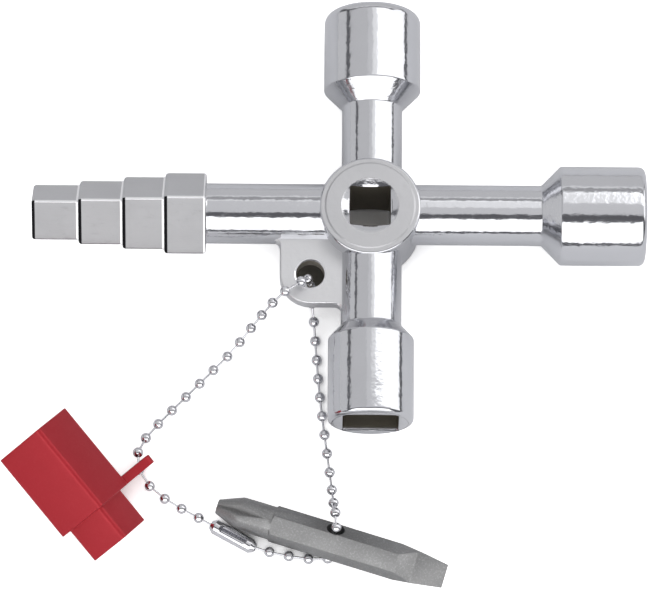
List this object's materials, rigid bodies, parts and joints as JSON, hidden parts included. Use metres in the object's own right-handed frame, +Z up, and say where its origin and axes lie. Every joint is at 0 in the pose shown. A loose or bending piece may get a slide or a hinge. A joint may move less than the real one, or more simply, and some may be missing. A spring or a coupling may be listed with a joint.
{
  "type": "multi utility key",
  "caption": "Cross-shaped utility key with a stepped square spindle, tube sockets and a square hub hole, with a screwdriver bit and a square adapter on a ball chain.",
  "frame": {"origin": "middle of the key casting's footprint on the table, without the chain and what hangs on it", "axes": "+X along the horizontal arms towards the right socket, +Y towards the top socket, +Z up from the table"},
  "size_m": [0.097, 0.0896, 0.0159],
  "materials": {
    "cast_nickel": "satin",
    "bit_steel": "satin",
    "red_coat": "satin",
    "chain_nickel": "polished"
  },
  "bodies": {
    "root": {"key_body": "cast_nickel", "screwdriver_bit": "bit_steel", "bit_adapter": "red_coat", "chain_connector": "chain_nickel", "chain_pins": "chain_nickel", "chain_bead_01": "chain_nickel", "chain_bead_02": "chain_nickel", "chain_bead_03": "chain_nickel", "chain_bead_04": "chain_nickel", "chain_bead_05": "chain_nickel", "chain_bead_06": "chain_nickel", "chain_bead_07": "chain_nickel", "chain_bead_08": "chain_nickel", "chain_bead_09": "chain_nickel", "chain_bead_10": "chain_nickel", "chain_bead_11": "chain_nickel", "chain_bead_12": "chain_nickel", "chain_bead_13": "chain_nickel", "chain_bead_14": "chain_nickel", "chain_bead_15": "chain_nickel", "chain_bead_16": "chain_nickel", "chain_bead_17": "chain_nickel", "chain_bead_18": "chain_nickel", "chain_bead_19": "chain_nickel", "chain_bead_20": "chain_nickel", "chain_bead_21": "chain_nickel", "chain_bead_22": "chain_nickel", "chain_bead_23": "chain_nickel", "chain_bead_24": "chain_nickel", "chain_bead_25": "chain_nickel", "chain_bead_26": "chain_nickel", "chain_bead_27": "chain_nickel", "chain_bead_28": "chain_nickel", "chain_bead_29": "chain_nickel", "chain_bead_30": "chain_nickel", "chain_bead_31": "chain_nickel", "chain_bead_32": "chain_nickel", "chain_bead_33": "chain_nickel", "chain_bead_34": "chain_nickel", "chain_bead_35": "chain_nickel", "chain_bead_36": "chain_nickel", "chain_bead_37": "chain_nickel", "chain_bead_38": "chain_nickel", "chain_bead_39": "chain_nickel", "chain_bead_40": "chain_nickel", "chain_bead_41": "chain_nickel", "chain_bead_42": "chain_nickel"}
  },
  "joints": []
}
